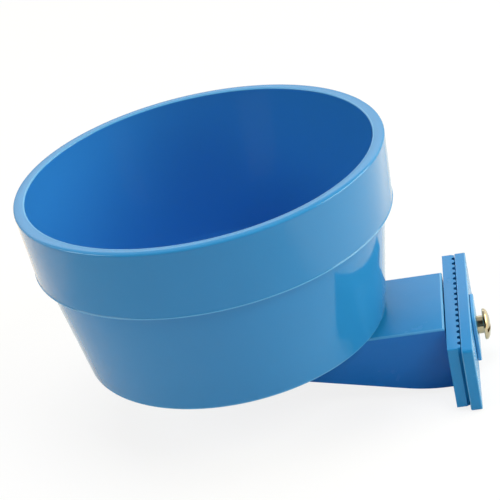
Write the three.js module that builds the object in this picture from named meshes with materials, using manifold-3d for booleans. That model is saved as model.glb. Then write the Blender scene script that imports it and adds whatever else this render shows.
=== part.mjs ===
// Parrot feeding cup that clamps to the bars of a cage.
// A round moulded cup twist-locks onto a hollow bracket arm. The arm ends in a toothed jaw and a flat
// jaw that one bolt and a captive nut pull together over the bars.
// Millimetres, +Z up. The origin is on the bolt's axis, halfway between the closed jaws.
// +X runs from the cup out through the jaws to the bolt head.
import * as THREE from 'three';
import { mergeVertices } from 'three/addons/utils/BufferGeometryUtils.js';
import Module from 'manifold-3d';

const wasm = await Module();
wasm.setup();

// Cup
const rimDiameter = 130;
const rimWidth = 4.3; // flat lip on top of the wall
const cupHeight = 65.4;
const bandHeight = 24.3; // thick band round the rim
const bandDraft = 1.3; // how far the band draws in from the rim to its foot
const bandStep = 2.6; // ledge under the band
const baseDiameter = 108.6;
const wallThickness = 3.4;
const floorThickness = 3;
const footRecess = 3.5; // hollow under the floor, inside the foot ring
const footWidth = 3.8;
const rimRound = 0.8; // outer edge of the lip
const lipRound = 0.4; // inner edge of the lip
const bandRound = 0.8;
const baseRound = 1;
const floorRound = 8;
const bossRound = 1.5; // edges of the raised middle of the floor, over the lock's socket

// Twist lock between the cup and the arm
const cupLift = 1.8; // from the arm's top face up to the cup's foot: the cup rests on the hub
const hubDiameter = 30;
const lugReach = 4.5;
const lugThickness = 2.5;
const lugCount = 3;
const tabAngle = 50; // degrees of the circle that each tab in the cup's socket covers
const stopAngle = 6; // degrees of the rib that stops each tab
const stopPlay = 1; // degrees between a locked tab and its stop
const lockPlay = 0.5; // running clearance of the lock
const collarWall = 3;

// Bracket arm
const cupReach = 79.5; // from the cup's axis to the clamping plane
const boltDrop = 12.2; // from the arm's top face down to the bolt's axis
const armWidth = 40.8;
const armEndHeight = 23.5; // at the jaws
const armEndLength = 9.4; // level stretch of the underside next to the jaws
const armBend = 60; // radius where the underside starts to rise
const armTipHeight = 3; // at the round tip under the cup
const armWall = 2.6;
const armWeb = 2.8;
const armEndWall = 4;
const armRound = 0.8; // round on the top edge
const ribThickness = 2.2;

// Jaws
const innerJawWidth = 67;
const innerJawHeight = 23.5;
const outerJawWidth = 70;
const outerJawHeight = 24.4;
const outerJawDrop = 0.8; // the outer jaw hangs this far below the bolt's axis
const innerJawThickness = 4.5;
const outerJawThickness = 4;
const jawCorner = 1.2;
const jawGap = 0.1; // between the closed jaws
const jawSeam = 0.4; // between the arm's end and the inner jaw
const toothPitch = 3.74;
const toothDepth = 0.9;
const toothLand = 1.35;
const pegDiameter = 5; // pegs that key the inner jaw to the arm
const pegLength = 3.4;

// Backing plate, bolt and nut
const plateWidth = 18.8;
const plateThickness = 1.3;
const plateCorner = 2.5;
const plateGap = 0.1; // between the plate and the outer jaw
const boltDiameter = 6.35;
const boltLength = 31.75; // under the head
const boltChamfer = 0.8;
const boltPlay = 0.3; // between the shank and its holes
const headDiameter = 11.1;
const headHeight = 2.4;
const headEdge = 0.6; // straight edge under the dome
const headStandOff = 2.3; // the bolt is shown a little slack
const slotWidth = 1.4;
const slotDepth = 1.2;
const nutAcrossFlats = 11.1;
const nutHeight = 5.5;
const nutChamfer = 0.7;

const seatGap = 0.3; // between pieces that seat on each other

// Places that follow from the sizes
const rimRadius = rimDiameter / 2;
const bandFootRadius = rimRadius - bandDraft;
const wallTopRadius = bandFootRadius - bandStep;
const bandFootHeight = cupHeight - bandHeight;
const baseRadius = baseDiameter / 2;
const hubRadius = hubDiameter / 2;
const lugRadius = hubRadius + lugReach;
const socketRadius = lugRadius + lockPlay;
const collarRadius = socketRadius + collarWall;
const tabBottom = seatGap; // heights in the lock are above the cup's base
const tabTop = tabBottom + lugThickness;
const lugBottom = tabTop + lockPlay;
const lugTop = lugBottom + lugThickness;
const socketDepth = lugTop + seatGap;
const cupBase = boltDrop + cupLift;
const innerJawFront = -jawGap / 2;
const innerJawBack = innerJawFront - innerJawThickness;
const armEnd = innerJawBack - jawSeam;
const armTip = -cupReach - armWidth / 2;
const armCavityEnd = armEnd - armEndWall;
const armBottom = boltDrop - armEndHeight;
const nutFront = armCavityEnd - seatGap;
const nutPocketBack = nutFront - nutHeight - seatGap;
const ribInside = nutAcrossFlats / 2 + seatGap;
const ribOutside = ribInside + ribThickness;
const pegOffset = (ribOutside + armWidth / 2 - armWall) / 2; // in the middle of each side bay
const pegHole = pegDiameter / 2 + seatGap;
const outerJawFront = jawGap / 2;
const outerJawBack = outerJawFront + outerJawThickness;
const plateFront = outerJawBack + plateGap;
const plateBack = plateFront + plateThickness;
const headSeat = plateBack + headStandOff;
const boltRadius = boltDiameter / 2;
const boltHole = boltRadius + boltPlay;
const overrun = 1; // how far a cutting shape passes the face that it cuts

// Facets
const cupFacets = 72;
const shaftFacets = 32;
const arcStep = THREE.MathUtils.degToRad(30); // rounded corners get one chord for each step

const moulded = { color: 0x257bbf, roughness: 0.28, metalness: 0 };
const plated = { color: 0xcbbd9c, roughness: 0.32, metalness: 1 };

// A closed geometry as a solid, without seams, collapsed triangles or inward faces.
function solid(geometry) {
  const bare = geometry.clone();
  bare.deleteAttribute('normal');
  bare.deleteAttribute('uv');
  const merged = mergeVertices(bare, 1e-4);
  const corners = merged.index.array;
  const vertices = merged.attributes.position.array;
  const triangles = [];
  for (let i = 0; i < corners.length; i += 3) {
    const [a, b, c] = corners.subarray(i, i + 3);
    if (a !== b && b !== c && c !== a) triangles.push(a, b, c);
  }
  if (signedVolume(vertices, triangles) < 0) triangles.reverse();
  return new wasm.Manifold(
    new wasm.Mesh({
      numProp: 3,
      vertProperties: new Float32Array(vertices),
      triVerts: new Uint32Array(triangles),
    }),
  );
}

function signedVolume(vertices, triangles) {
  const corner = (i) => new THREE.Vector3().fromArray(vertices, 3 * triangles[i]);
  let six = 0;
  for (let i = 0; i < triangles.length; i += 3) {
    six += corner(i).dot(corner(i + 1).cross(corner(i + 2)));
  }
  return six / 6;
}

// A named mesh of a solid.
function piece(name, body, finish) {
  const made = body.getMesh();
  const geometry = new THREE.BufferGeometry();
  geometry.setAttribute('position', new THREE.BufferAttribute(made.vertProperties, 3));
  geometry.setIndex(new THREE.BufferAttribute(made.triVerts, 1));
  geometry.computeVertexNormals();
  const mesh = new THREE.Mesh(geometry, new THREE.MeshStandardMaterial(finish));
  mesh.name = name;
  return mesh;
}

// Profile points with rounded corners: each corner is [x, y, rounding].
function roundedProfile(corners) {
  const at = (i) => new THREE.Vector2(corners[i][0], corners[i][1]);
  return corners.flatMap(([, , rounding = 0], i) => {
    const corner = at(i);
    if (!rounding) return [corner];
    const back = at(i - 1).sub(corner).normalize();
    const ahead = at(i + 1).sub(corner).normalize();
    const halfAngle = Math.acos(THREE.MathUtils.clamp(back.dot(ahead), -1, 1)) / 2;
    const inward = back.clone().add(ahead).normalize();
    const centre = inward.clone().multiplyScalar(rounding / Math.sin(halfAngle)).add(corner);
    const first = back.clone().multiplyScalar(rounding / Math.tan(halfAngle)).add(corner).sub(centre);
    const sweep = (Math.PI - 2 * halfAngle) * Math.sign(ahead.cross(back));
    const steps = Math.max(2, Math.round(Math.abs(sweep) / arcStep));
    const points = [];
    for (let step = 0; step <= steps; step += 1) {
      points.push(first.clone().rotateAround(new THREE.Vector2(), (sweep * step) / steps).add(centre));
    }
    return points;
  });
}

// Revolves, extrusions and cutters along the part's axes.
function revolvedUp(profile, facets) {
  return solid(new THREE.LatheGeometry(profile, facets).rotateX(Math.PI / 2));
}

function revolvedAlongX(profile, facets) {
  return solid(new THREE.LatheGeometry(profile, facets).rotateZ(-Math.PI / 2));
}

function extrudedUp(outline, bottom, top) {
  const settings = { depth: top - bottom, bevelEnabled: false, curveSegments: 8 };
  return solid(new THREE.ExtrudeGeometry(outline, settings).translate(0, 0, bottom));
}

// An outline drawn in Y and Z, extruded along X.
function extrudedAlongX(outline, from, to, rise = 0) {
  const axes = new THREE.Matrix4().makeBasis(
    new THREE.Vector3(0, 1, 0),
    new THREE.Vector3(0, 0, 1),
    new THREE.Vector3(1, 0, 0),
  );
  const settings = { depth: to - from, bevelEnabled: false, curveSegments: 4 };
  return solid(new THREE.ExtrudeGeometry(outline, settings).applyMatrix4(axes).translate(from, 0, rise));
}

function rodAlongX(radius, from, to, y = 0) {
  const rod = new THREE.CylinderGeometry(radius, radius, to - from, shaftFacets);
  return solid(rod.rotateZ(-Math.PI / 2).translate((from + to) / 2, y, 0));
}

function block(low, high) {
  const size = new THREE.Vector3(...high).sub(new THREE.Vector3(...low));
  const middle = new THREE.Vector3(...high).add(new THREE.Vector3(...low)).multiplyScalar(0.5);
  return solid(new THREE.BoxGeometry(size.x, size.y, size.z).translate(middle.x, middle.y, middle.z));
}

// Part of a ring between two angles in degrees.
function ringPart(inner, outer, from, to, bottom, top) {
  const outline = new THREE.Shape();
  const start = THREE.MathUtils.degToRad(from);
  const end = THREE.MathUtils.degToRad(to);
  outline.absarc(0, 0, outer, start, end, false);
  outline.absarc(0, 0, inner, end, start, true);
  return extrudedUp(outline, bottom, top);
}

function roundedRectangle(width, height, corner) {
  const outline = new THREE.Shape();
  const x = width / 2 - corner;
  const y = height / 2 - corner;
  outline.absarc(x, y, corner, 0, Math.PI / 2);
  outline.absarc(-x, y, corner, Math.PI / 2, Math.PI);
  outline.absarc(-x, -y, corner, Math.PI, 1.5 * Math.PI);
  outline.absarc(x, -y, corner, 1.5 * Math.PI, 2 * Math.PI);
  return outline;
}

// Angle of each of the lock's lugs round the cup's axis.
function lockAngles() {
  return Array.from({ length: lugCount }, (_, i) => (360 / lugCount) * i);
}

// The cup stands on its own base here: a drafted wall, a thick band round the rim, a foot ring,
// and a socket in the middle of the base with inward tabs.
function makeCup() {
  const floorTop = footRecess + floorThickness;
  const bossTop = socketDepth + floorThickness;
  const recessRadius = baseRadius - footWidth;
  const wallSlope = (wallTopRadius - baseRadius) / bandFootHeight;
  const floorRadius = baseRadius + wallSlope * floorTop - wallThickness;
  const profile = roundedProfile([
    [0, socketDepth],
    [socketRadius, socketDepth],
    [socketRadius, tabBottom],
    [collarRadius, tabBottom],
    [collarRadius, footRecess],
    [recessRadius, footRecess],
    [recessRadius, 0],
    [baseRadius, 0, baseRound],
    [wallTopRadius, bandFootHeight, bandRound],
    [bandFootRadius, bandFootHeight, bandRound],
    [rimRadius, cupHeight, rimRound],
    [rimRadius - rimWidth, cupHeight, lipRound],
    [floorRadius, floorTop, floorRound],
    [collarRadius, floorTop, bossRound],
    [collarRadius, bossTop, bossRound],
    [0, bossTop],
  ]);
  const tabs = lockAngles().map((angle) =>
    ringPart(
      hubRadius + lockPlay,
      socketRadius + collarWall / 2,
      angle - tabAngle / 2,
      angle + tabAngle / 2,
      tabBottom,
      tabTop,
    ),
  );
  const cup = tabs.reduce((body, tab) => body.add(tab), revolvedUp(profile, cupFacets));
  return piece('cup', cup, moulded);
}

// The hub on the arm's top: lugs over the cup's tabs, and a stop rib under one end of each lug.
function makeHub() {
  const rise = cupBase + lugTop;
  const tabEdge = -tabAngle / 2 - stopPlay;
  const core = hubRadius - overrun; // lugs and stops run this far into the hub
  const root = boltDrop - armWeb / 2; // inside the arm's web
  const barrel = new THREE.CylinderGeometry(hubRadius, hubRadius, rise - root, shaftFacets);
  barrel.rotateX(Math.PI / 2).translate(0, 0, (rise + root) / 2);
  return lockAngles().reduce((hub, angle) => {
    const stopEnd = angle + tabEdge;
    const stopStart = stopEnd - stopAngle;
    const lug = ringPart(core, lugRadius, stopStart, angle + tabAngle / 2, cupBase + lugBottom, rise);
    const stop = ringPart(core, lugRadius, stopStart, stopEnd, root, rise);
    return hub.add(lug).add(stop);
  }, solid(barrel));
}

function armOutline(inset) {
  const outline = new THREE.Shape();
  const half = armWidth / 2 - inset;
  outline.moveTo(armEnd - inset, -half);
  outline.lineTo(armEnd - inset, half);
  outline.lineTo(-cupReach, half);
  outline.absarc(-cupReach, 0, half, Math.PI / 2, 1.5 * Math.PI);
  return outline;
}

// Everything under the arm's sloping underside, as a wedge drawn in X and Z.
function underArm() {
  const below = armBottom - armEndHeight;
  const outline = new THREE.Shape(
    roundedProfile([
      [armEnd + overrun, below],
      [armEnd + overrun, armBottom],
      [armEnd - armEndLength, armBottom, armBend],
      [armTip, boltDrop - armTipHeight],
      [armTip - overrun, boltDrop - armTipHeight],
      [armTip - overrun, below],
    ]),
  );
  const settings = { depth: armWidth + 2 * overrun, bevelEnabled: false };
  const wedge = new THREE.ExtrudeGeometry(outline, settings);
  return solid(wedge.rotateX(Math.PI / 2).translate(0, armWidth / 2 + overrun, 0));
}

// The arm is a hollow wedge, open below: a top web, side walls, an end wall against the inner jaw,
// two long ribs that run through the hollow hub and hold the nut by its flats, and a cross wall
// behind the nut.
function makeBracketArm() {
  const deep = armBottom - overrun;
  const rounded = {
    depth: boltDrop - deep - 2 * armRound,
    bevelThickness: armRound,
    bevelSize: armRound,
    bevelOffset: -armRound,
    bevelSegments: 3,
    curveSegments: 12,
  };
  const hull = new THREE.ExtrudeGeometry(armOutline(0), rounded).translate(0, 0, deep + armRound);
  const webBottom = boltDrop - armWeb;
  const cavity = extrudedUp(armOutline(armWall), deep - overrun, webBottom)
    .subtract(block([armCavityEnd, -armWidth, deep - 2 * overrun], [armEnd, armWidth, boltDrop]));
  const ribTop = webBottom + armWeb / 2;
  const ribFrom = armCavityEnd + armEndWall / 2;
  const crossWall = block(
    [nutPocketBack - ribThickness, -ribOutside, deep],
    [nutPocketBack, ribOutside, ribTop],
  );
  const boltWay = rodAlongX(boltHole, nutPocketBack - ribThickness - overrun, armEnd + overrun);
  const dropIn = block(
    [nutPocketBack - ribThickness - overrun, -boltHole, deep - overrun],
    [nutPocketBack + overrun, boltHole, 0],
  );
  const coreRadius = hubRadius - armWall;
  const coreTop = cupBase + lugTop - armWeb;
  const core = new THREE.CylinderGeometry(coreRadius, coreRadius, coreTop - deep, shaftFacets);
  core.rotateX(Math.PI / 2).translate(-cupReach, 0, (coreTop + deep) / 2);

  let arm = solid(hull)
    .subtract(cavity)
    .add(makeHub().translate([-cupReach, 0, 0]))
    .subtract(solid(core))
    .add(crossWall);
  for (const side of [-1, 1]) {
    const low = Math.min(side * ribInside, side * ribOutside);
    const high = Math.max(side * ribInside, side * ribOutside);
    const longRib = block([-cupReach, low, deep], [ribFrom, high, ribTop]);
    const hubRib = block(
      [-cupReach - coreRadius, low, deep],
      [-cupReach + coreRadius, high, coreTop + overrun],
    );
    arm = arm.add(longRib).add(hubRib);
  }
  arm = arm.subtract(underArm()).subtract(boltWay).subtract(dropIn);
  for (const side of [-1, 1]) {
    arm = arm.subtract(rodAlongX(pegHole, armCavityEnd - overrun, armEnd + overrun, side * pegOffset));
  }
  return piece('bracket_arm', arm, moulded);
}

// Upright V grooves across the inner jaw's face, which hold the bars against the flat outer jaw.
function grooved(jaw) {
  const count = 2 * Math.round(innerJawWidth / toothPitch / 2) + 1;
  const halfMouth = (toothPitch - toothLand) / 2;
  const flare = (halfMouth * overrun) / toothDepth; // the cutter keeps its slope past the face
  const reach = innerJawHeight / 2 + overrun;
  let body = jaw;
  for (let i = 0; i < count; i += 1) {
    const y = (i - (count - 1) / 2) * toothPitch;
    const groove = new THREE.Shape([
      new THREE.Vector2(innerJawFront - toothDepth, y),
      new THREE.Vector2(innerJawFront + overrun, y + halfMouth + flare),
      new THREE.Vector2(innerJawFront + overrun, y - halfMouth - flare),
    ]);
    body = body.subtract(extrudedUp(groove, -reach, reach));
  }
  return body;
}

function makeInnerJaw() {
  const outline = roundedRectangle(innerJawWidth, innerJawHeight, jawCorner);
  let jaw = grooved(extrudedAlongX(outline, innerJawBack, innerJawFront));
  for (const side of [-1, 1]) {
    jaw = jaw.add(rodAlongX(pegDiameter / 2, armEnd - pegLength, innerJawBack + overrun, side * pegOffset));
  }
  jaw = jaw.subtract(rodAlongX(boltHole, innerJawBack - overrun, innerJawFront + overrun));
  return piece('inner_jaw', jaw, moulded);
}

function makeOuterJaw() {
  const outline = roundedRectangle(outerJawWidth, outerJawHeight, jawCorner);
  const jaw = extrudedAlongX(outline, outerJawFront, outerJawBack, -outerJawDrop)
    .subtract(rodAlongX(boltHole, outerJawFront - overrun, outerJawBack + overrun));
  return piece('outer_jaw', jaw, moulded);
}

function makeBackingPlate() {
  const outline = roundedRectangle(plateWidth, plateWidth, plateCorner);
  const plate = extrudedAlongX(outline, plateFront, plateBack, -outerJawDrop)
    .subtract(rodAlongX(boltHole, plateFront - overrun, plateBack + overrun));
  return piece('backing_plate', plate, moulded);
}

// A domed machine bolt with a straight driver slot.
function makeBolt() {
  const tip = headSeat - boltLength;
  const crown = headSeat + headHeight;
  const headRadius = headDiameter / 2;
  const domeRise = headHeight - headEdge;
  const dome = [];
  const domeSteps = 6;
  for (let step = 0; step < domeSteps; step += 1) {
    const angle = (Math.PI / 2) * (step / domeSteps);
    const height = headSeat + headEdge + domeRise * Math.sin(angle);
    dome.push(new THREE.Vector2(headRadius * Math.cos(angle), height));
  }
  const profile = [
    new THREE.Vector2(0, tip),
    new THREE.Vector2(boltRadius - boltChamfer, tip),
    new THREE.Vector2(boltRadius, tip + boltChamfer),
    new THREE.Vector2(boltRadius, headSeat),
    new THREE.Vector2(headRadius, headSeat),
    ...dome,
    new THREE.Vector2(0, crown),
  ];
  const slot = block(
    [crown - slotDepth, -headRadius - overrun, -slotWidth / 2],
    [crown + overrun, headRadius + overrun, slotWidth / 2],
  );
  return piece('clamp_bolt', revolvedAlongX(profile, shaftFacets).subtract(slot), plated);
}

// A hexagon nut with its flats upright against the ribs and its corners chamfered on both faces.
function makeNut() {
  const nutBack = nutFront - nutHeight;
  const cornerRadius = nutAcrossFlats / Math.sqrt(3);
  const hexagon = new THREE.Shape();
  for (let i = 0; i < 6; i += 1) {
    const angle = (Math.PI / 3) * (i + 0.5);
    const point = new THREE.Vector2(cornerRadius * Math.cos(angle), cornerRadius * Math.sin(angle));
    if (i === 0) hexagon.moveTo(point.x, point.y);
    else hexagon.lineTo(point.x, point.y);
  }
  const turned = [
    new THREE.Vector2(0, nutBack),
    new THREE.Vector2(cornerRadius - nutChamfer, nutBack),
    new THREE.Vector2(cornerRadius, nutBack + nutChamfer / 2),
    new THREE.Vector2(cornerRadius, nutFront - nutChamfer / 2),
    new THREE.Vector2(cornerRadius - nutChamfer, nutFront),
    new THREE.Vector2(0, nutFront),
  ];
  const nut = extrudedAlongX(hexagon, nutBack, nutFront)
    .intersect(revolvedAlongX(turned, shaftFacets))
    .subtract(rodAlongX(boltHole, nutBack - overrun, nutFront + overrun));
  return piece('clamp_nut', nut, plated);
}

const cup = makeCup();
cup.position.set(-cupReach, 0, cupBase);

const bracket = new THREE.Group();
bracket.add(makeBracketArm(), makeInnerJaw(), makeNut());

const clamp = new THREE.Group();
clamp.add(makeOuterJaw(), makeBackingPlate(), makeBolt());

const feedingCup = new THREE.Group();
feedingCup.add(cup, bracket, clamp);

export default feedingCup;
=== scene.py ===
import math
import bmesh
import bpy
from mathutils import Matrix, Vector


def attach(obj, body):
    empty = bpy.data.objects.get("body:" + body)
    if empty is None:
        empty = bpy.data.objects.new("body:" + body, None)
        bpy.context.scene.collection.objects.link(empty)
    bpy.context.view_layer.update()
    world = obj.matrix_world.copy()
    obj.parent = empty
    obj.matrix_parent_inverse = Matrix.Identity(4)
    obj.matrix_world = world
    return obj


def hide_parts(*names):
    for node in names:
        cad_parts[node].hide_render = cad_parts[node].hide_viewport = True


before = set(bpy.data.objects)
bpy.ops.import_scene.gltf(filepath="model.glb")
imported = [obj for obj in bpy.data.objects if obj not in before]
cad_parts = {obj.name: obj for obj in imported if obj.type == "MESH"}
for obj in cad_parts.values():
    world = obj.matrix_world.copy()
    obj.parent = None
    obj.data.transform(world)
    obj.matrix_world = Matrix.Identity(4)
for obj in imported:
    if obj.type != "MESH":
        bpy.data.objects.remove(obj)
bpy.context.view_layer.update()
scene = bpy.context.scene
mm = 0.001  # shapes are drawn in millimetres and scaled when a piece is finished
spare = 1  # mm that a cutter reaches past what it cuts, and that joined shapes overlap
near = 0.01  # mm, as good as nothing: for faces on a surface and shapes that just clear a corner
print("frame loaded:", ", ".join(sorted(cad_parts)))

# Camera: the photograph's own view, with the cup leaning to the left in the picture
photoView = {
    "place": (24.03, -494.94, 294.94),
    "target": (-68.89, 1.92, 41.96),
    "lens": 115.16,
    "sensor": 36,
    "lean": 13.22,  # degrees that the picture is turned
}


def makeCamera():
    data = bpy.data.cameras.new("photoCamera")
    data.lens = photoView["lens"]
    data.sensor_width = photoView["sensor"]
    data.clip_start = 0.01
    camera = bpy.data.objects.new("photoCamera", data)
    scene.collection.objects.link(camera)
    place = Vector(photoView["place"]) * mm
    target = Vector(photoView["target"]) * mm
    aim = (target - place).to_track_quat("-Z", "Y").to_matrix().to_4x4()
    lean = Matrix.Rotation(-math.radians(photoView["lean"]), 4, "Z")
    camera.matrix_world = Matrix.Translation(place) @ aim @ lean
    scene.camera = camera


makeCamera()
print("camera set")


def linear(hexColour):
    parts = [int(hexColour[i:i + 2], 16) / 255 for i in (1, 3, 5)]
    return [p / 12.92 if p <= 0.04045 else ((p + 0.055) / 1.055) ** 2.4 for p in parts] + [1.0]


# Adds a node; a socket's value is a number, a colour or the output it is linked to.
# A Mix node's sockets go by number: 0 is the factor, 2 and 3 are numbers, 6 and 7 are colours.
def addNode(tree, kind, sockets=None, **settings):
    node = tree.nodes.new(kind)
    for name, value in settings.items():
        setattr(node, name, value)
    for name, value in (sockets or {}).items():
        if isinstance(value, bpy.types.NodeSocket):
            tree.links.new(value, node.inputs[name])
        else:
            node.inputs[name].default_value = value
    return node


def emptyMaterial(name):
    material = bpy.data.materials.new(name)
    material.use_nodes = True
    material.node_tree.nodes.clear()
    return material, material.node_tree


noiseLow, noiseHigh = 0.3, 0.7  # nearly all of a noise texture's values lie between these
waveStep = 0.314  # distance between the rings of a wave texture at scale 1


# Polypropylene, injection moulded in a polished tool: deep even pigment under a wet-looking skin,
# with faint flow clouds in the colour and a slow orange-peel ripple in the reflections
def mouldedPolypropylene(name, look):
    material, tree = emptyMaterial(name)
    place = addNode(tree, "ShaderNodeTexCoord")
    spot = place.outputs["Object"]
    clouds = addNode(tree, "ShaderNodeTexNoise", {
        "Vector": spot, "Scale": 1 / (look["cloudSize"] * mm), "Detail": 3.0, "Roughness": 0.55})
    pigment = addNode(tree, "ShaderNodeMix", {
        "Factor": clouds.outputs["Fac"], 6: linear(look["deep"]), 7: linear(look["light"])},
        data_type="RGBA").outputs[2]
    # painted shade: faces that look away from the shade centre keep the pigment, the others take the
    # deeper core colour, which stands in for the shade on them
    if "core" in look:
        centre = [value * mm for value in look["coreCentre"]]
        outward = addNode(tree, "ShaderNodeVectorMath", {0: spot, 1: centre}, operation="SUBTRACT")
        facing = addNode(tree, "ShaderNodeVectorMath", {
            0: place.outputs["Normal"], 1: outward.outputs["Vector"]}, operation="DOT_PRODUCT")
        low, high = look["coreBlend"]
        side = addNode(tree, "ShaderNodeMapRange", {
            "Value": facing.outputs["Value"], "From Min": low * mm, "From Max": high * mm})
        pigment = addNode(tree, "ShaderNodeMix", {
            "Factor": side.outputs["Result"], 6: linear(look["core"]), 7: pigment},
            data_type="RGBA").outputs[2]
    haze = addNode(tree, "ShaderNodeTexNoise", {
        "Vector": spot, "Scale": 1 / (look["hazeSize"] * mm), "Detail": 4.0, "Roughness": 0.6})
    gloss = addNode(tree, "ShaderNodeMapRange", {
        "Value": haze.outputs["Fac"], "From Min": noiseLow, "From Max": noiseHigh,
        "To Min": look["gloss"][0], "To Max": look["gloss"][1]})
    peel = addNode(tree, "ShaderNodeTexNoise", {
        "Vector": spot, "Scale": 1 / (look["peelSize"] * mm), "Detail": 2.0, "Roughness": 0.4})
    ripple = addNode(tree, "ShaderNodeBump", {
        "Height": peel.outputs["Fac"], "Strength": 1.0, "Distance": look["peelDepth"] * mm})
    skin = addNode(tree, "ShaderNodeBsdfPrincipled", {
        "Base Color": pigment, "Roughness": gloss.outputs["Result"],
        "Normal": ripple.outputs["Normal"], "IOR": look["ior"]})
    addNode(tree, "ShaderNodeOutputMaterial", {"Surface": skin.outputs["BSDF"]})
    return material


# Steel, turned on a lathe and nickel plated: pale warm metal with rings left by the tool
def nickelPlatedSteel(name, look):
    material, tree = emptyMaterial(name)
    spot = addNode(tree, "ShaderNodeTexCoord").outputs["Object"]
    bloom = addNode(tree, "ShaderNodeTexNoise", {
        "Vector": spot, "Scale": 1 / (look["bloomSize"] * mm), "Detail": 4.0, "Roughness": 0.6})
    plate = addNode(tree, "ShaderNodeMix", {
        "Factor": bloom.outputs["Fac"], 6: linear(look["dull"]), 7: linear(look["bright"])},
        data_type="RGBA")
    sheen = addNode(tree, "ShaderNodeMapRange", {
        "Value": bloom.outputs["Fac"], "From Min": noiseLow, "From Max": noiseHigh,
        "To Min": look["polish"][0], "To Max": look["polish"][1]})
    # real tool rings are finer than the picture can show, so these are drawn coarser
    rings = addNode(tree, "ShaderNodeTexWave", {
        "Vector": spot, "Scale": waveStep / (look["ringSpacing"] * mm), "Distortion": 0.6,
        "Detail": 1.0}, wave_type="RINGS", rings_direction="X")
    cut = addNode(tree, "ShaderNodeBump", {
        "Height": rings.outputs["Fac"], "Strength": 1.0, "Distance": look["ringDepth"] * mm})
    metal = addNode(tree, "ShaderNodeBsdfPrincipled", {
        "Base Color": plate.outputs[2], "Metallic": 1.0, "Roughness": sheen.outputs["Result"],
        "Normal": cut.outputs["Normal"]})
    addNode(tree, "ShaderNodeOutputMaterial", {"Surface": metal.outputs["BSDF"]})
    return material


cupSkin = {
    "deep": "#257bba", "light": "#2981c1",
    "core": "#2975c2", "coreCentre": (-79.5, 0, 69), "coreBlend": (-6, 6),  # painted shade: the inside of the cup takes a deeper blue
    "cloudSize": 38, "hazeSize": 14, "gloss": (0.05, 0.09),
    "peelSize": 4.5, "peelDepth": 0.003, "ior": 1.37,
}
# the lip, lit from above and from its sides, looks a little paler than the wall
lipSkin = dict(cupSkin, deep="#2b82bf", light="#3088c5", core="#3088c5")
# painted highlight: edges and roundings take a paler pigment that stands in for the light they catch
edgeHighlightSkin = {
    "deep": "#4b98d0", "light": "#56a2d7",
    "cloudSize": 12, "hazeSize": 5, "gloss": (0.1, 0.2),
    "peelSize": 3.5, "peelDepth": 0.003, "ior": 1.42,
}
bracketSkin = {
    "deep": "#1f80be", "light": "#2487c6",
    "cloudSize": 24, "hazeSize": 9, "gloss": (0.2, 0.28),
    "peelSize": 3.5, "peelDepth": 0.003, "ior": 1.32,
}
# painted shade: the arm's upright walls take a deeper blue than its top
armShadeSkin = dict(
    bracketSkin, core="#0c6fc3", coreCentre=(-50, 0, -4000), coreBlend=(500, 3000), ior=1.29)
# painted light: the small plate takes a paler blue than the rest of the bracket
plateLitSkin = dict(bracketSkin, deep="#4a9ad0", light="#52a1d8")
# painted shade: the walls of the grooves take a dark blue, with a matt finish
grooveShadeSkin = dict(bracketSkin, deep="#0b4f8c", light="#0f5793", gloss=(0.5, 0.6), ior=1.2)
plating = {
    "dull": "#a39878", "bright": "#cbbfa4",
    "bloomSize": 3, "polish": (0.12, 0.22),
    "ringSpacing": 0.35, "ringDepth": 0.004,
}
cupPlastic = mouldedPolypropylene("gloss moulded polypropylene, cup", cupSkin)
lipPlastic = mouldedPolypropylene("gloss moulded polypropylene, lip", lipSkin)
edgeHighlightPlastic = mouldedPolypropylene("gloss moulded polypropylene, painted edge highlights", edgeHighlightSkin)
armShadePlastic = mouldedPolypropylene("gloss moulded polypropylene, arm with painted shade", armShadeSkin)
bracketPlastic = mouldedPolypropylene("gloss moulded polypropylene, bracket", bracketSkin)
plateLitPlastic = mouldedPolypropylene("gloss moulded polypropylene, plate painted paler", plateLitSkin)
grooveShadePlastic = mouldedPolypropylene("matt moulded polypropylene, painted groove shade", grooveShadeSkin)
platedSteel = nickelPlatedSteel("nickel plated steel", plating)
print("materials made")


# Points of an outline with its corners rounded: each corner is (x, y, radius)
def roundedCorners(corners, closed=False, stepDegrees=12, fewestSteps=3):
    points = []
    count = len(corners)
    for i, (x, y, radius) in enumerate(corners):
        corner = Vector((x, y))
        if not radius or (not closed and i in (0, count - 1)):
            points.append(corner)
            continue
        back = (Vector(corners[i - 1][:2]) - corner).normalized()
        ahead = (Vector(corners[(i + 1) % count][:2]) - corner).normalized()
        half = back.angle(ahead) / 2
        centre = corner + (back + ahead).normalized() * (radius / math.sin(half))
        start = corner + back * (radius / math.tan(half)) - centre
        turn = math.copysign(math.pi - 2 * half, ahead.cross(back))
        steps = max(fewestSteps, round(abs(turn) / math.radians(stepDegrees)))
        for step in range(steps + 1):
            points.append(centre + Matrix.Rotation(turn * step / steps, 2) @ start)
    return points


def roundedRectangle(width, height, corner, drop=0):
    x, y = width / 2, height / 2
    return roundedCorners([
        (x, y - drop, corner), (-x, y - drop, corner),
        (-x, -y - drop, corner), (x, -y - drop, corner)], closed=True)


def closedMesh(bm):
    bmesh.ops.recalc_face_normals(bm, faces=bm.faces)
    mesh = bpy.data.meshes.new("shape")
    bm.to_mesh(mesh)
    bm.free()
    shape = bpy.data.objects.new("shape", mesh)
    scene.collection.objects.link(shape)
    return shape


# A point from two coordinates across an axis and one along it
def onAxis(axis, u, v, along):
    return {"X": (along, u, v), "Y": (u, along, v), "Z": (u, v, along)}[axis]


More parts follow.
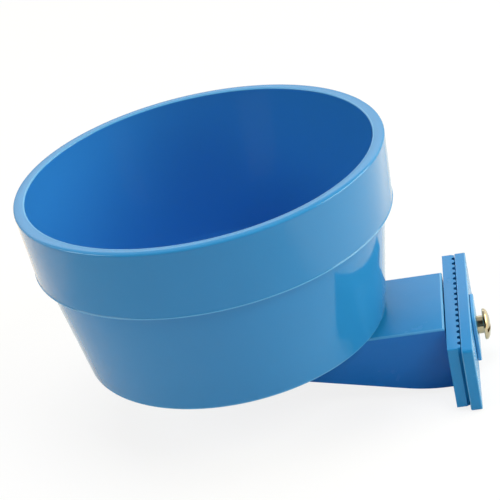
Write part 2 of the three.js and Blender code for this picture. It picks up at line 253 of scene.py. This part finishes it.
# Turned shape: profile points are (radius, height), from one end of the axis to the other
def turned(profile, segments, axis="Z", offset=(0, 0)):
    bm = bmesh.new()
    rings = []
    for radius, height in profile:
        spots = segments if radius > 0 else 1
        angles = [2 * math.pi * k / segments for k in range(spots)]
        rings.append([bm.verts.new(onAxis(
            axis, offset[0] + radius * math.cos(a), offset[1] + radius * math.sin(a), height))
            for a in angles])
    for low, high in zip(rings, rings[1:]):
        for k in range(segments):
            n = k + 1
            corners = [
                low[k % len(low)], low[n % len(low)],
                high[n % len(high)], high[k % len(high)]]
            corners = list(dict.fromkeys(corners))
            if len(corners) > 2:
                bm.faces.new(corners)
    return closedMesh(bm)


# Stack of matching outlines, each with its place along the axis, closed at both ends
def stacked(layers, axis="Z"):
    bm = bmesh.new()
    rings = []
    for outline, along in layers:
        rings.append([bm.verts.new(onAxis(axis, u, v, along)) for u, v in outline])
    count = len(rings[0])
    for low, high in zip(rings, rings[1:]):
        for k in range(count):
            n = (k + 1) % count
            bm.faces.new((low[k], low[n], high[n], high[k]))
    bm.faces.new(rings[0][::-1])
    bm.faces.new(rings[-1])
    return closedMesh(bm)


def rod(radius, low, high, axis="X", offset=(0, 0), segments=48):
    return turned([(0, low), (radius, low), (radius, high), (0, high)], segments, axis, offset)


def block(low, high):
    outline = [(low[0], low[1]), (high[0], low[1]), (high[0], high[1]), (low[0], high[1])]
    return stacked([(outline, low[2]), (outline, high[2])])


def arc(radius, startDegrees, endDegrees, steps, centre=(0, 0)):
    sweep = endDegrees - startDegrees
    angles = [math.radians(startDegrees + sweep * k / steps) for k in range(steps + 1)]
    return [(centre[0] + radius * math.cos(a), centre[1] + radius * math.sin(a)) for a in angles]


def ringPart(inner, outer, start, end, low, high, centre, steps=16):
    outline = arc(outer, start, end, steps, centre) + arc(inner, end, start, steps, centre)
    return stacked([(outline, low), (outline, high)])


# Adds shapes to a base, or cuts them out of it, and removes them
def combine(base, operation, shapes):
    for shape in shapes:
        join = base.modifiers.new("join", "BOOLEAN")
        join.operation = operation
        join.solver = "EXACT"
        join.object = shape
        result = base.evaluated_get(bpy.context.evaluated_depsgraph_get())
        mesh = bpy.data.meshes.new_from_object(result)
        base.modifiers.clear()
        base.data = mesh
        bpy.data.objects.remove(shape)


finishing = {
    "weld": 0.005,  # mm: points closer than this become one
    "edgeSteps": 3,  # across a softened edge
}


# Turns a shape into a finished piece: metres, clean faces, soft edges, material, body and node
def finishPiece(
        shape, name, node, materials, body, edge=0.0, sharpDegrees=32, cleanDegrees=0.4):
    bm = bmesh.new()
    bm.from_mesh(shape.data)
    bmesh.ops.remove_doubles(bm, verts=bm.verts, dist=finishing["weld"])
    flat = math.radians(cleanDegrees)
    bmesh.ops.dissolve_limit(bm, angle_limit=flat, verts=bm.verts, edges=bm.edges)
    # thin slivers that the merge folded flat leave two faces on the same corners
    folded = {}
    for face in bm.faces:
        folded.setdefault(frozenset(face.verts), []).append(face)
    doubled = [face for faces in folded.values() if len(faces) > 1 for face in faces]
    bmesh.ops.delete(bm, geom=doubled, context="FACES")
    bmesh.ops.recalc_face_normals(bm, faces=bm.faces)
    bmesh.ops.scale(bm, vec=(mm, mm, mm), verts=bm.verts)
    limit = math.radians(sharpDegrees)
    softened = bm.edges.layers.float.new("bevel_weight_edge")
    for side in bm.edges:
        if side.is_manifold and side.is_convex and side.calc_face_angle() > limit:
            side[softened] = 1.0
    mesh = bpy.data.meshes.new(name)
    bm.to_mesh(mesh)
    bm.free()
    mesh.shade_smooth()
    mesh.set_sharp_from_angle(angle=limit)
    bpy.data.objects.remove(shape)
    piece = bpy.data.objects.new(name, mesh)
    scene.collection.objects.link(piece)
    for material in materials:
        mesh.materials.append(material)
    # a softened edge takes the last of the materials; on plastic pieces that is the pale pigment of the
    # painted edge highlights
    if edge:
        soften = piece.modifiers.new("softEdges", "BEVEL")
        soften.width = edge * mm
        soften.segments = finishing["edgeSteps"]
        soften.limit_method = "WEIGHT"
        soften.use_clamp_overlap = True
        soften.material = len(materials) - 1
        soften.harden_normals = True
    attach(piece, body)
    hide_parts(node)
    print("piece made:", name, len(mesh.polygons), "faces")
    return piece


# Cup: one moulding, turned profile with a thick band, foot ring and lock socket under the floor
cup = {
    "axis": (-79.5, 0), "base": 14.0, "segments": 240, "cleanDegrees": 0.02,
    "rim": 65.0, "lip": 4.1, "height": 65.4, "rimRound": 0.8, "lipRound": 0.4,
    "crown": (9, 6, 0.3),  # slope of the lip at both edges in degrees, steps across, rise
    "crownFlats": (0.2, 0.1),  # straight lengths between the crown and the outer and inner rounding
    "lipMargin": 0.1,  # how far inside the lip's edge a face still counts as the lip
    "bandFoot": (63.7, 41.1), "wallTop": 61.1, "bandRound": 0.8,
    "bead": {"reach": 0.2, "shoulder": 0.5, "top": 0.7, "topReach": 0.02, "topRound": 0.1},
    "foot": 54.3, "footRound": 1.0, "footInner": 50.5, "recess": 3.5, "underRound": 0.4,
    "floor": (51.975, 6.5), "floorRound": 8.0,
    "collar": 23.0, "socket": (20.0, 6.1), "boss": 9.1, "bossRound": 1.5,
    "tabInner": 15.5, "tabRoot": 1.5, "tab": (0.3, 2.8), "tabAngle": 50, "tabs": 3,
    "pinMark": (3.0, 36.5, 0.18),  # radius, distance from the axis, depth
    "pinMarks": 6, "pinSegments": 32,
}


def makeCup():
    c = cup
    under = c["underRound"]
    bandFoot, bandBottom = c["bandFoot"]
    bead = c["bead"]
    slope, crownSteps, rise = c["crown"]
    outerFlat, innerFlat = c["crownFlats"]
    crownOut = c["rim"] - c["rimRound"] - outerFlat
    crownIn = c["rim"] - c["lip"] + c["lipRound"] + innerFlat
    crownRadius = (crownOut - crownIn) / 2 / math.sin(math.radians(slope))
    crownTop = (crownOut + crownIn) / 2, c["height"] + rise - crownRadius
    lip = [(x, y, 0) for x, y in arc(crownRadius, 90 - slope, 90 + slope, crownSteps, crownTop)]
    fall = math.tan(math.radians(slope))
    rimTop = lip[0][1] - (c["rim"] - crownOut) * fall
    lipTop = lip[-1][1] - (c["lipRound"] + innerFlat) * fall
    tabLow, tabHigh = c["tab"]
    profile = roundedCorners([
        (0, c["socket"][1], 0),
        (c["socket"][0], c["socket"][1], under),
        (c["socket"][0], tabLow, under),
        (c["collar"], tabLow, under),
        (c["collar"], c["recess"], under),
        (c["footInner"], c["recess"], under),
        (c["footInner"], 0, under),
        (c["foot"], 0, c["footRound"]),
        (c["wallTop"], bandBottom, c["bandRound"]),
        (bandFoot + bead["reach"], bandBottom, bead["reach"]),
        (bandFoot + bead["reach"], bandBottom + bead["shoulder"], bead["reach"]),
        (bandFoot + bead["topReach"], bandBottom + bead["top"], bead["topRound"]),
        (c["rim"], rimTop, c["rimRound"]),
        *lip,
        (c["rim"] - c["lip"], lipTop, c["lipRound"]),
        (c["floor"][0], c["floor"][1], c["floorRound"]),
        (c["collar"], c["floor"][1], c["bossRound"]),
        (c["collar"], c["boss"], c["bossRound"]),
        (0, c["boss"], 0)])
    profile = [(p[0], p[1] + c["base"]) for p in profile]
    shape = turned(profile, c["segments"], offset=c["axis"])

    # tabs of the twist lock
    tabs = []
    halfTab = c["tabAngle"] / 2
    for i in range(c["tabs"]):
        middle = 360 / c["tabs"] * i
        tabs.append(ringPart(
            c["tabInner"], c["socket"][0] + c["tabRoot"], middle - halfTab, middle + halfTab,
            c["base"] + tabLow, c["base"] + tabHigh, c["axis"]))
    combine(shape, "UNION", tabs)

    # round marks of the moulding tool's pins
    markRadius, distance, depth = c["pinMark"]
    recess = c["base"] + c["recess"]
    marks = []
    for i in range(c["pinMarks"]):
        a = 2 * math.pi * (i + 0.5) / c["pinMarks"]
        spot = (c["axis"][0] + distance * math.cos(a), c["axis"][1] + distance * math.sin(a))
        marks.append(rod(markRadius, recess - spare, recess + depth, "Z", spot, c["pinSegments"]))
    combine(shape, "DIFFERENCE", marks)

    skins = [cupPlastic, lipPlastic, edgeHighlightPlastic]
    piece = finishPiece(
        shape, "moulded_cup", "cup", skins, "cup", cleanDegrees=c["cleanDegrees"])
    # painted highlight: the lip's inner edge, the bead and the foot's rounding take the pale edge
    # pigment; the rest of the lip takes the lip's paler pigment
    for face in piece.data.polygons:
        x, y, z = face.center / mm
        radius = math.hypot(x - c["axis"][0], y - c["axis"][1])
        height = z - c["base"]
        inLip = radius - c["rim"] + c["lip"]
        onLip = -c["lipMargin"] < inLip < c["lip"] and height > c["height"] - c["lipRound"]
        onInnerEdge = onLip and inLip < c["lipRound"]
        onBead = radius > bandFoot + bead["reach"] / 2 and height < bandBottom + bead["top"]
        onFoot = radius > c["foot"] - c["footRound"] and height < c["footRound"]
        highlightFaces = onInnerEdge or onBead or onFoot
        face.material_index = 2 if highlightFaces else 1 if onLip else 0


makeCup()


# Bracket arm: hollow wedge open below, with long ribs that hold the nut and a hub for the twist lock
arm = {
    "end": -4.95, "cavityEnd": -8.95, "hub": (-79.5, 0), "tip": -99.9,
    "top": 12.2, "bottom": -11.3, "level": 9.4, "bend": 60.0, "bendStep": 2, "tipHeight": 3.0,
    "width": 40.8, "wall": 2.6, "web": 2.8, "tipSteps": 64, "edge": 0.25,
    "round": 0.8, "roundSteps": 5,
    "roundTilt": (0.2, 0.99),  # upward share of the normals on the top's rounded edge
    "rib": (5.85, 8.05), "ribRoot": 2, "crossWall": (-17.25, -15.05),
    "boltHole": 3.475, "pegHole": 2.8, "pegOffset": 12.925,
    "hubRadius": 15.0, "hubSegments": 96, "core": (12.4, 17.0),
    "lugReach": 19.5, "lug": (17.3, 19.8), "lugAngles": (-32, 25), "lugs": 3,
    "stopReach": 19.3, "stopAngles": (-31.5, -26),
    "cutDepth": 30,  # how far below the arm the cutter of its sloping underside reaches
}


def armOutline(inset, end):
    half = arm["width"] / 2 - inset
    return [(end, -half), (end, half)] + arc(half, 90, 270, arm["tipSteps"], arm["hub"])


def makeArm():
    a = arm
    deep = a["bottom"] - spare
    webBottom = a["top"] - a["web"]
    joinTop = webBottom + a["web"] / 2  # hub and ribs are joined halfway up the web
    layers = [(armOutline(0, a["end"]), deep)]
    for step in range(a["roundSteps"] + 1):
        t = math.pi / 2 * step / a["roundSteps"]
        inset = a["round"] * (1 - math.cos(t))
        height = a["top"] - a["round"] * (1 - math.sin(t))
        layers.append((armOutline(inset, a["end"] - inset), height))
    shape = stacked(layers)
    hollow = armOutline(a["wall"], a["cavityEnd"])
    combine(shape, "DIFFERENCE", [stacked([(hollow, deep - spare), (hollow, webBottom)])])

    # hub with its lugs and stops
    hubX = a["hub"][0]
    hubInside = a["hubRadius"] - spare
    lowLug, highLug = a["lug"]
    hub = [rod(a["hubRadius"], joinTop, highLug, "Z", a["hub"], a["hubSegments"])]
    for i in range(a["lugs"]):
        turn = 360 / a["lugs"] * i
        start, end = a["lugAngles"]
        hub.append(ringPart(
            hubInside, a["lugReach"], turn + start, turn + end, lowLug, highLug, a["hub"]))
        start, end = a["stopAngles"]
        hub.append(ringPart(
            hubInside, a["stopReach"], turn + start, turn + end, joinTop, lowLug + spare, a["hub"]))
    combine(shape, "UNION", hub)
    coreRadius, coreTop = a["core"]
    core = rod(coreRadius, deep - spare, coreTop, "Z", a["hub"], a["hubSegments"])
    combine(shape, "DIFFERENCE", [core])

    # cross wall behind the nut, and a rib on each side, which goes up into the hub
    ribIn, ribOut = a["rib"]
    wallBack, wallFront = a["crossWall"]
    ribs = [block((wallBack, -ribOut, deep), (wallFront, ribOut, joinTop))]
    for low, high in ((-ribOut, -ribIn), (ribIn, ribOut)):
        ribs.append(block((hubX, low, deep), (a["cavityEnd"] + a["ribRoot"], high, joinTop)))
        ribs.append(block(
            (hubX - coreRadius, low, deep), (hubX + coreRadius, high, coreTop + spare)))
    combine(shape, "UNION", ribs)

    # sloping underside, the bolt's hole with its slot, and the holes for the jaw's pegs
    below = a["bottom"] - a["cutDepth"]
    ahead = a["end"] + spare
    behind = a["tip"] - spare
    tipBottom = a["top"] - a["tipHeight"]
    wedge = roundedCorners([
        (ahead, below, 0), (ahead, a["bottom"], 0),
        (a["end"] - a["level"], a["bottom"], a["bend"]),
        (a["tip"], tipBottom, 0), (behind, tipBottom, 0),
        (behind, below, 0)], stepDegrees=a["bendStep"])
    half = a["width"] / 2 + spare
    boltEnd = wallBack - spare
    boltHole = a["boltHole"]
    cuts = [
        stacked([(wedge, -half), (wedge, half)], "Y"),
        rod(boltHole, boltEnd, ahead),
        block((boltEnd, -boltHole, deep - spare), (wallFront + spare, boltHole, 0))]
    for side in (-1, 1):
        peg = (side * a["pegOffset"], 0)
        cuts.append(rod(a["pegHole"], a["cavityEnd"] - spare, ahead, "X", peg))
    combine(shape, "DIFFERENCE", cuts)

    skins = [armShadePlastic, edgeHighlightPlastic]
    piece = finishPiece(
        shape, "hollow_arm", "bracket_arm", skins, "bracket", a["edge"])
    # painted highlight: faces on the rounded edge of the top take the pale edge pigment
    steep, level = a["roundTilt"]
    for face in piece.data.polygons:
        high = face.center.z / mm > a["top"] - a["round"]
        face.material_index = 1 if high and steep < face.normal.z < level else 0


makeArm()


# Jaws: the inner plate has upright grooves that hold the bars, the outer plate is flat
innerJaw = {
    "size": (67.0, 23.5), "back": -4.55, "front": -0.05, "corner": 0.5,
    "edge": 0.35, "sharpDegrees": 50,  # only edges sharper than this are softened
    "hole": 3.475, "peg": 2.5, "pegEnd": -8.35, "pegOffset": 12.925,
    "grooves": 19, "pitch": 3.74, "depth": 0.95, "land": 1.35, "root": 1.3,
    "mouth": 0.3,  # the land is measured this far in front of the plate
}
outerJaw = {
    "size": (70.0, 24.4), "drop": 0.8, "front": 0.05, "back": 4.05, "corner": 1.2,
    "edge": 0.4, "sharpDegrees": 50,
    "hole": 3.475,
}


def grooveCutters():
    j = innerJaw
    cutters = []
    reach = j["size"][1] / 2 + spare
    bottom = j["front"] - j["depth"]
    mouth = j["front"] + j["mouth"]
    halfMouth = (j["pitch"] - j["land"]) / 2
    halfRoot = j["root"] / 2
    for i in range(j["grooves"]):
        y = (i - (j["grooves"] - 1) / 2) * j["pitch"]
        outline = [
            (bottom, y - halfRoot), (bottom, y + halfRoot),
            (mouth, y + halfMouth), (mouth, y - halfMouth)]
        cutters.append(stacked([(outline, -reach), (outline, reach)]))
    return cutters


def makeInnerJaw():
    j = innerJaw
    width, height = j["size"]
    outline = roundedRectangle(width, height, j["corner"])
    shape = stacked([(outline, j["back"]), (outline, j["front"])], "X")
    combine(shape, "DIFFERENCE", grooveCutters())
    pegs = []
    for side in (-1, 1):
        peg = (side * j["pegOffset"], 0)
        pegs.append(rod(j["peg"], j["pegEnd"], j["back"] + spare, "X", peg))
    combine(shape, "UNION", pegs)
    combine(shape, "DIFFERENCE", [rod(j["hole"], j["back"] - spare, j["front"] + spare)])
    skins = [bracketPlastic, grooveShadePlastic, edgeHighlightPlastic]
    piece = finishPiece(
        shape, "toothed_jaw", "inner_jaw", skins, "bracket",
        j["edge"], j["sharpDegrees"])
    # painted shade: the walls of the grooves take the dark matt skin, apart from the open ones at both
    # ends of the jaw
    for face in piece.data.polygons:
        x, y, z = face.center / mm
        inGroove = j["front"] - j["depth"] - near < x < j["front"] - near
        onRim = abs(z) > height / 2 - near or abs(y) > (width - j["pitch"]) / 2
        face.material_index = 1 if inGroove and not onRim else 0


def makeOuterJaw():
    j = outerJaw
    outline = roundedRectangle(j["size"][0], j["size"][1], j["corner"], j["drop"])
    shape = stacked([(outline, j["front"]), (outline, j["back"])], "X")
    combine(shape, "DIFFERENCE", [rod(j["hole"], j["front"] - spare, j["back"] + spare)])
    skins = [bracketPlastic, edgeHighlightPlastic]
    finishPiece(
        shape, "flat_jaw", "outer_jaw", skins, "outer_jaw",
        j["edge"], j["sharpDegrees"])


makeInnerJaw()
makeOuterJaw()


# Backing plate: small square plate under the bolt head
plate = {
    "width": 18.8, "corner": 2.5, "front": 4.15, "back": 5.45, "drop": 0.8,
    "hole": 3.475, "edge": 0.3,
}


def makePlate():
    p = plate
    outline = roundedRectangle(p["width"], p["width"], p["corner"], p["drop"])
    shape = stacked([(outline, p["front"]), (outline, p["back"])], "X")
    combine(shape, "DIFFERENCE", [rod(p["hole"], p["front"] - spare, p["back"] + spare)])
    skins = [plateLitPlastic, edgeHighlightPlastic]
    finishPiece(
        shape, "square_plate", "backing_plate", skins, "outer_jaw", p["edge"])


makePlate()


# Clamp bolt: quarter-inch bolt with a rolled thread, a low dome and a straight slot
bolt = {
    "tip": -24.0, "seat": 7.75, "crest": 3.175, "root": 2.55, "pitch": 1.27, "chamfer": 0.8,
    "flats": (0.22, 0.56, 0.68),  # shares of the pitch where the root ends and the crest starts and ends
    "turnSteps": 48, "spareTurns": 2, "weld": 0.0001,
    "shankRoot": 0.5, "neck": 4.5, "neckClear": 0.03, "neckRoot": 0.1,  # roots run into the head
    "headRadius": 5.55, "headHeight": 2.4, "headEdge": 0.6, "headChamfer": 0.15,
    "domeSteps": 18, "segments": 96, "slot": (1.4, 1.2),
}


# Shank with a helical thread: crest and root flats joined by flanks, run out at both flat ends
def threadedShank(low, high):
    b = bolt
    rootEnd, crestStart, crestEnd = b["flats"]
    levels = [(0.0, b["root"]), (rootEnd, b["root"]), (crestStart, b["crest"]), (crestEnd, b["crest"])]
    turns = math.ceil((high - low) / b["pitch"]) + 2 * b["spareTurns"]
    rows = turns * len(levels) + 1
    bm = bmesh.new()
    grid = []
    for k in range(b["turnSteps"]):
        share = k / b["turnSteps"]
        angle = 2 * math.pi * share
        column = []
        for row in range(rows):
            turn, level = divmod(row, len(levels))
            along = low + (turn - b["spareTurns"] + levels[level][0] + share) * b["pitch"]
            radius = levels[level][1] if along < high else b["root"]
            along = min(max(along, low), high)
            radius = min(radius, b["crest"] - b["chamfer"] + along - low)
            column.append(bm.verts.new((along, radius * math.cos(angle), radius * math.sin(angle))))
        grid.append(column)
    for k in range(b["turnSteps"]):
        last = k == b["turnSteps"] - 1
        nextColumn = grid[0][len(levels):] if last else grid[k + 1]
        for row in range(len(nextColumn) - 1):
            bm.faces.new((grid[k][row], nextColumn[row], nextColumn[row + 1], grid[k][row + 1]))
    # the spare turns lie flat on the two ends and merge into their rims
    bmesh.ops.remove_doubles(bm, verts=bm.verts, dist=b["weld"])
    bmesh.ops.holes_fill(bm, edges=[side for side in bm.edges if side.is_boundary])
    return closedMesh(bm)


def makeBolt():
    b = bolt
    seat, headRadius = b["seat"], b["headRadius"]
    crown = seat + b["headHeight"]
    shape = threadedShank(b["tip"], seat + b["shankRoot"])
    dome = [(0, seat), (headRadius - b["headChamfer"], seat), (headRadius, seat + b["headChamfer"])]
    rise = b["headHeight"] - b["headEdge"]
    for step in range(b["domeSteps"]):
        t = math.pi / 2 * step / b["domeSteps"]
        dome.append((headRadius * math.cos(t), seat + b["headEdge"] + rise * math.sin(t)))
    dome.append((0, crown))
    neckRadius = b["crest"] + b["neckClear"]
    neck = rod(neckRadius, seat - b["neck"], seat + b["neckRoot"], segments=b["segments"])
    combine(shape, "UNION", [neck, turned(dome, b["segments"], "X")])
    slotWidth, slotDepth = b["slot"]
    reach = headRadius + spare
    combine(shape, "DIFFERENCE", [block(
        (crown - slotDepth, -reach, -slotWidth / 2), (crown + spare, reach, slotWidth / 2))])
    finishPiece(shape, "domed_bolt", "clamp_bolt", [platedSteel], "bolt")


makeBolt()


# Clamp nut: hexagon nut held by its flats between the arm's ribs
nut = {
    "front": -9.25, "back": -14.75, "flats": 11.1, "chamfer": 0.7, "chamferSegments": 96,
    "hole": 3.475, "countersink": 0.5, "holeSegments": 64, "edge": 0.12,
}


def makeNut():
    n = nut
    front, back = n["front"], n["back"]
    corner = n["flats"] / math.sqrt(3)
    angles = [math.pi / 3 * (i + 0.5) for i in range(6)]
    hexagon = [(corner * math.cos(a), corner * math.sin(a)) for a in angles]
    shape = stacked([(hexagon, back), (hexagon, front)], "X")
    half = n["chamfer"] / 2
    barrel = turned([
        (0, back), (corner - n["chamfer"], back), (corner + near, back + half),
        (corner + near, front - half), (corner - n["chamfer"], front), (0, front)],
        n["chamferSegments"], "X")
    combine(shape, "INTERSECT", [barrel])
    hole, sink = n["hole"], n["countersink"]
    mouth = hole + sink + spare
    bore = turned([
        (0, back - spare), (mouth, back - spare), (hole, back + sink),
        (hole, front - sink), (mouth, front + spare), (0, front + spare)],
        n["holeSegments"], "X")
    combine(shape, "DIFFERENCE", [bore])
    finishPiece(shape, "hex_nut", "clamp_nut", [platedSteel], "bracket", n["edge"])


makeNut()


# Studio: white sweep, soft boxes and an even white surround
studio = {
    "floorLevel": -13.1, "floorHalf": 4000, "floorWhite": "#f4f4f4",
    "floorGlow": 0.845, "floorShadow": 0.145,  # what the camera sees: glow plus a share of the lit floor
    "fill": 0.08,  # what the surround adds to the light
    # round cream cards on the paper, which only the reflections show
    "cards": (
        {"centre": (600, 80), "radius": 568, "glow": 0.84, "tint": "#ffe0ac"},
        {"centre": (-600, 190), "radius": 412, "glow": 0.44, "tint": "#ffd29c"},
    ),
    "cardEdge": 36,  # mm over which a card fades out
    # brightness reflected at each height in degrees: white sweep, a bright strip, a dimmer ceiling
    "room": ((1, 1.0), (16, 1.0), (22, 1.6), (31, 2.35), (36, 0.7)),
    "darkSide": (-0.25, 0.05, 0.06),  # the room is dark on the camera's side: from, to, share left
    "lamps": {
        "keyBox": {
            "place": (1250, -950, 1540), "size": (1000, 1000), "watts": 16.0,
            "tint": "#fffdf6", "mirrored": False},
        "topBox": {
            "place": (-80, 100, 2300), "size": (1200, 1200), "watts": 29.5,
            "tint": "#ffffff", "mirrored": False},
        "leftBox": {
            "place": (-1850, -480, 1130), "size": (1100, 1100), "watts": 19.5,
            "tint": "#fff6d8", "mirrored": True},
        "rightBox": {
            "place": (1900, 380, 820), "size": (1700, 1200), "watts": 41.0,
            "tint": "#fffad8", "mirrored": True},
    },
    "aim": (-60, 0, 35),
}


# Matt white paper: even and bright to the camera, with the object's soft shadow on it
def makeFloor():
    s = studio
    half = s["floorHalf"] * mm
    level = s["floorLevel"] * mm
    mesh = bpy.data.meshes.new("floor")
    mesh.from_pydata(
        [(-half, -half, level), (half, -half, level), (half, half, level), (-half, half, level)],
        [], [(0, 1, 2, 3)])
    floor = bpy.data.objects.new("floor", mesh)
    scene.collection.objects.link(floor)
    material, tree = emptyMaterial("matt white paper")
    bounce = addNode(tree, "ShaderNodeBsdfDiffuse", {"Color": linear(s["floorWhite"])})
    shade = addNode(tree, "ShaderNodeBsdfDiffuse", {"Color": [s["floorShadow"]] * 3 + [1.0]})
    glow = addNode(tree, "ShaderNodeEmission", {"Color": [1.0] * 4, "Strength": s["floorGlow"]})
    seen = addNode(tree, "ShaderNodeAddShader", {0: shade.outputs[0], 1: glow.outputs[0]})
    ray = addNode(tree, "ShaderNodeLightPath")
    spot = addNode(tree, "ShaderNodeTexCoord").outputs["Object"]
    around = bounce
    for card in s["cards"]:
        centre = [value * mm for value in card["centre"]] + [level]
        away = addNode(tree, "ShaderNodeVectorMath", {0: spot, 1: centre}, operation="DISTANCE")
        cream = addNode(tree, "ShaderNodeMapRange", {
            "Value": away.outputs["Value"], "From Min": card["radius"] * mm,
            "From Max": (card["radius"] - s["cardEdge"]) * mm, "To Max": card["glow"]})
        mirrored = addNode(tree, "ShaderNodeMath", {
            0: cream.outputs["Result"], 1: ray.outputs["Is Glossy Ray"]}, operation="MULTIPLY")
        shine = addNode(tree, "ShaderNodeEmission", {
            "Color": linear(card["tint"]), "Strength": mirrored.outputs["Value"]})
        around = addNode(tree, "ShaderNodeAddShader", {0: around.outputs[0], 1: shine.outputs[0]})
    mix = addNode(tree, "ShaderNodeMixShader", {
        0: ray.outputs["Is Camera Ray"], 1: around.outputs[0], 2: seen.outputs[0]})
    # from below the paper isn't seen, so the underside of the object can be looked at
    below = addNode(tree, "ShaderNodeNewGeometry")
    clear = addNode(tree, "ShaderNodeBsdfTransparent")
    paper = addNode(tree, "ShaderNodeMixShader", {
        0: below.outputs["Backfacing"], 1: mix.outputs[0], 2: clear.outputs[0]})
    addNode(tree, "ShaderNodeOutputMaterial", {"Surface": paper.outputs[0]})
    mesh.materials.append(material)


# White to the camera; reflections show the room, and diffuse light gets only the fill
def makeSurround():
    world = bpy.data.worlds.new("white surround")
    world.use_nodes = True
    tree = world.node_tree
    tree.nodes.clear()
    ray = addNode(tree, "ShaderNodeLightPath")
    direction = addNode(tree, "ShaderNodeTexCoord").outputs["Generated"]
    height = addNode(tree, "ShaderNodeSeparateXYZ", {"Vector": direction})
    ramp = addNode(tree, "ShaderNodeValToRGB", {"Fac": height.outputs["Z"]})
    for angle, strength in studio["room"]:
        stop = ramp.color_ramp.elements.new(math.sin(math.radians(angle)))
        stop.color = [strength] * 3 + [1.0]
    # a new ramp comes with a stop at each end
    for unused in (ramp.color_ramp.elements[-1], ramp.color_ramp.elements[0]):
        ramp.color_ramp.elements.remove(unused)
    start, end, share = studio["darkSide"]
    side = addNode(tree, "ShaderNodeMapRange", {
        "Value": height.outputs["Y"], "From Min": start, "From Max": end, "To Min": share})
    lit = addNode(tree, "ShaderNodeMath", {
        0: ramp.outputs["Color"], 1: side.outputs["Result"]}, operation="MULTIPLY")
    shown = addNode(tree, "ShaderNodeMix", {
        0: ray.outputs["Is Glossy Ray"], 2: studio["fill"], 3: lit.outputs["Value"]})
    level = addNode(tree, "ShaderNodeMix", {
        0: ray.outputs["Is Camera Ray"], 2: shown.outputs[0], 3: 1.0})
    white = addNode(tree, "ShaderNodeBackground", {"Color": [1.0] * 4, "Strength": level.outputs[0]})
    addNode(tree, "ShaderNodeOutputWorld", {"Surface": white.outputs[0]})
    scene.world = world


def makeLamps():
    target = Vector(studio["aim"]) * mm
    for name, lamp in studio["lamps"].items():
        data = bpy.data.lights.new(name, "AREA")
        data.shape = "RECTANGLE"
        data.size = lamp["size"][0] * mm
        data.size_y = lamp["size"][1] * mm
        data.energy = lamp["watts"]
        data.color = linear(lamp["tint"])[:3]
        box = bpy.data.objects.new(name, data)
        scene.collection.objects.link(box)
        place = Vector(lamp["place"]) * mm
        aim = (target - place).to_track_quat("-Z", "Y").to_matrix().to_4x4()
        box.matrix_world = Matrix.Translation(place) @ aim
        box.visible_camera = False
        box.visible_glossy = lamp["mirrored"]


makeFloor()
makeSurround()
makeLamps()
scene.view_settings.view_transform = "Standard"
print("studio lit")
